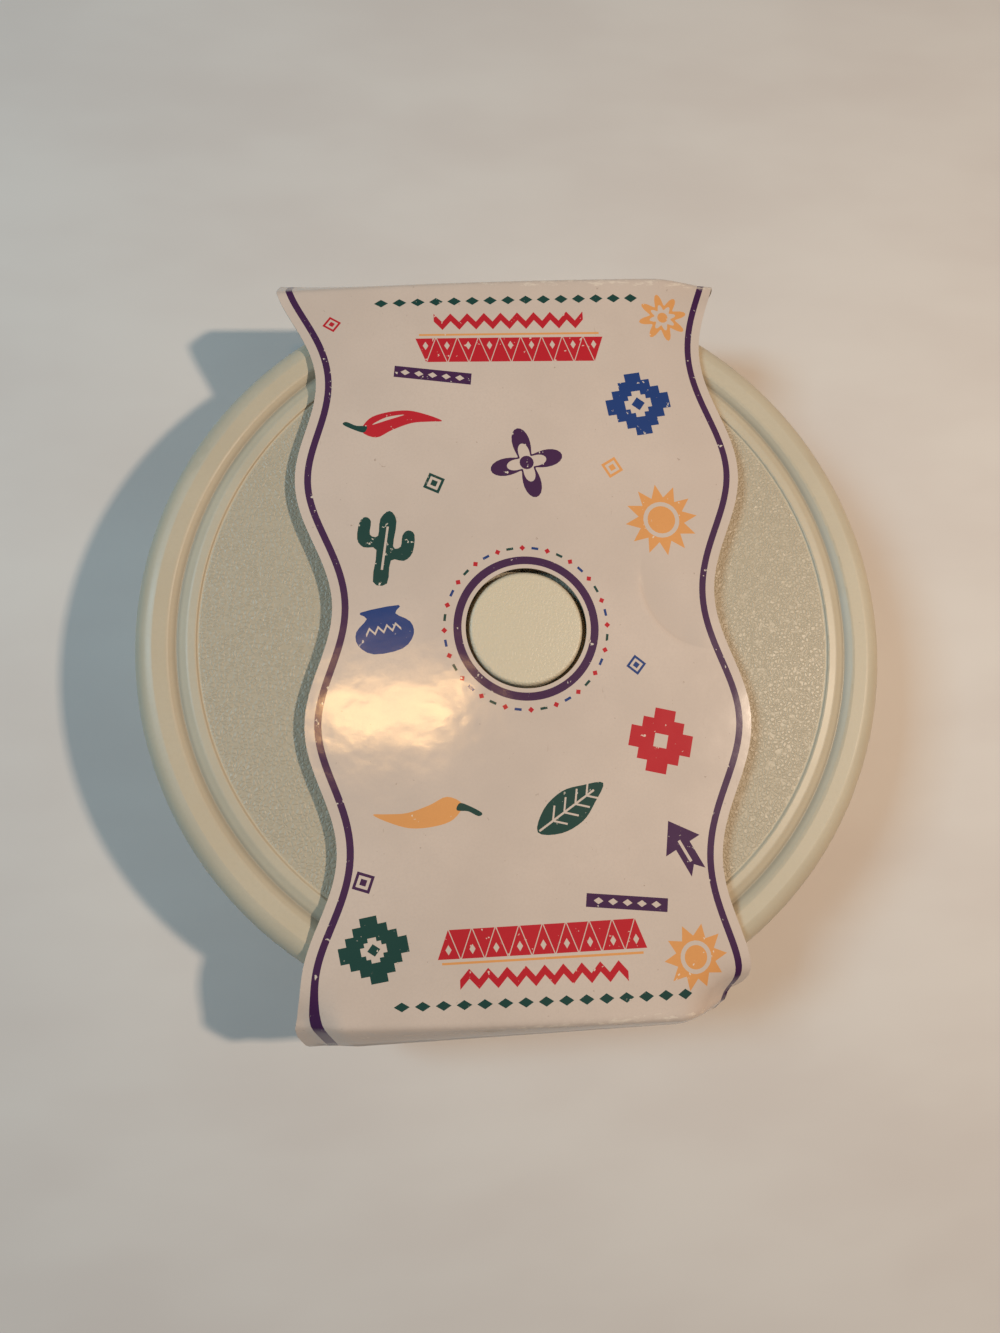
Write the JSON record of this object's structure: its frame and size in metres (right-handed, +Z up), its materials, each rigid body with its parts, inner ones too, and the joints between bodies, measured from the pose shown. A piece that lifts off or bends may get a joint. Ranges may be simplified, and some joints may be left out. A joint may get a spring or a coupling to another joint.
{
  "type": "tortilla warmer",
  "caption": "Round double-walled plastic food keeper with a knobbed lift-off lid, wrapped in a printed paperboard sleeve with wavy edges and a window for the knob.",
  "frame": {"origin": "middle of the sleeve's underside, where the keeper stands on the table", "axes": "+Z up, +X to the right and +Y away from a viewer who reads the sleeve's front end"},
  "size_m": [0.24, 0.2422, 0.0551],
  "materials": {
    "almond_plastic": "almond moulded plastic, fine matte, leather grain on the lid's plateau",
    "liner_plastic": "almond moulded plastic, smooth satin",
    "white_foam": "white bead foam",
    "printed_board": "cream coated paperboard with spot-colour print and a gloss varnish",
    "dried_glue": "dried hot glue, amber and satin"
  },
  "bodies": {
    "base": {"base_outer_shell": "almond_plastic", "base_inner_liner": "liner_plastic", "base_foam_core": "white_foam"},
    "lid": {"lid_outer_shell": "almond_plastic", "lid_inner_liner": "liner_plastic", "lid_foam_core": "white_foam"},
    "sleeve": {"card_sleeve": "printed_board", "sleeve_glue_seam": "dried_glue"}
  },
  "joints": [
    {"name": "lid_turn", "type": "hinge", "parent": "base", "child": "lid", "pos_m": [0, 0, 0.035], "axis": [0, 0, 1], "continuous": true},
    {"name": "sleeve_slide", "type": "slide", "parent": "base", "child": "sleeve", "axis": [1, 0, 0], "range_m": [-0.2, 0.2]}
  ]
}
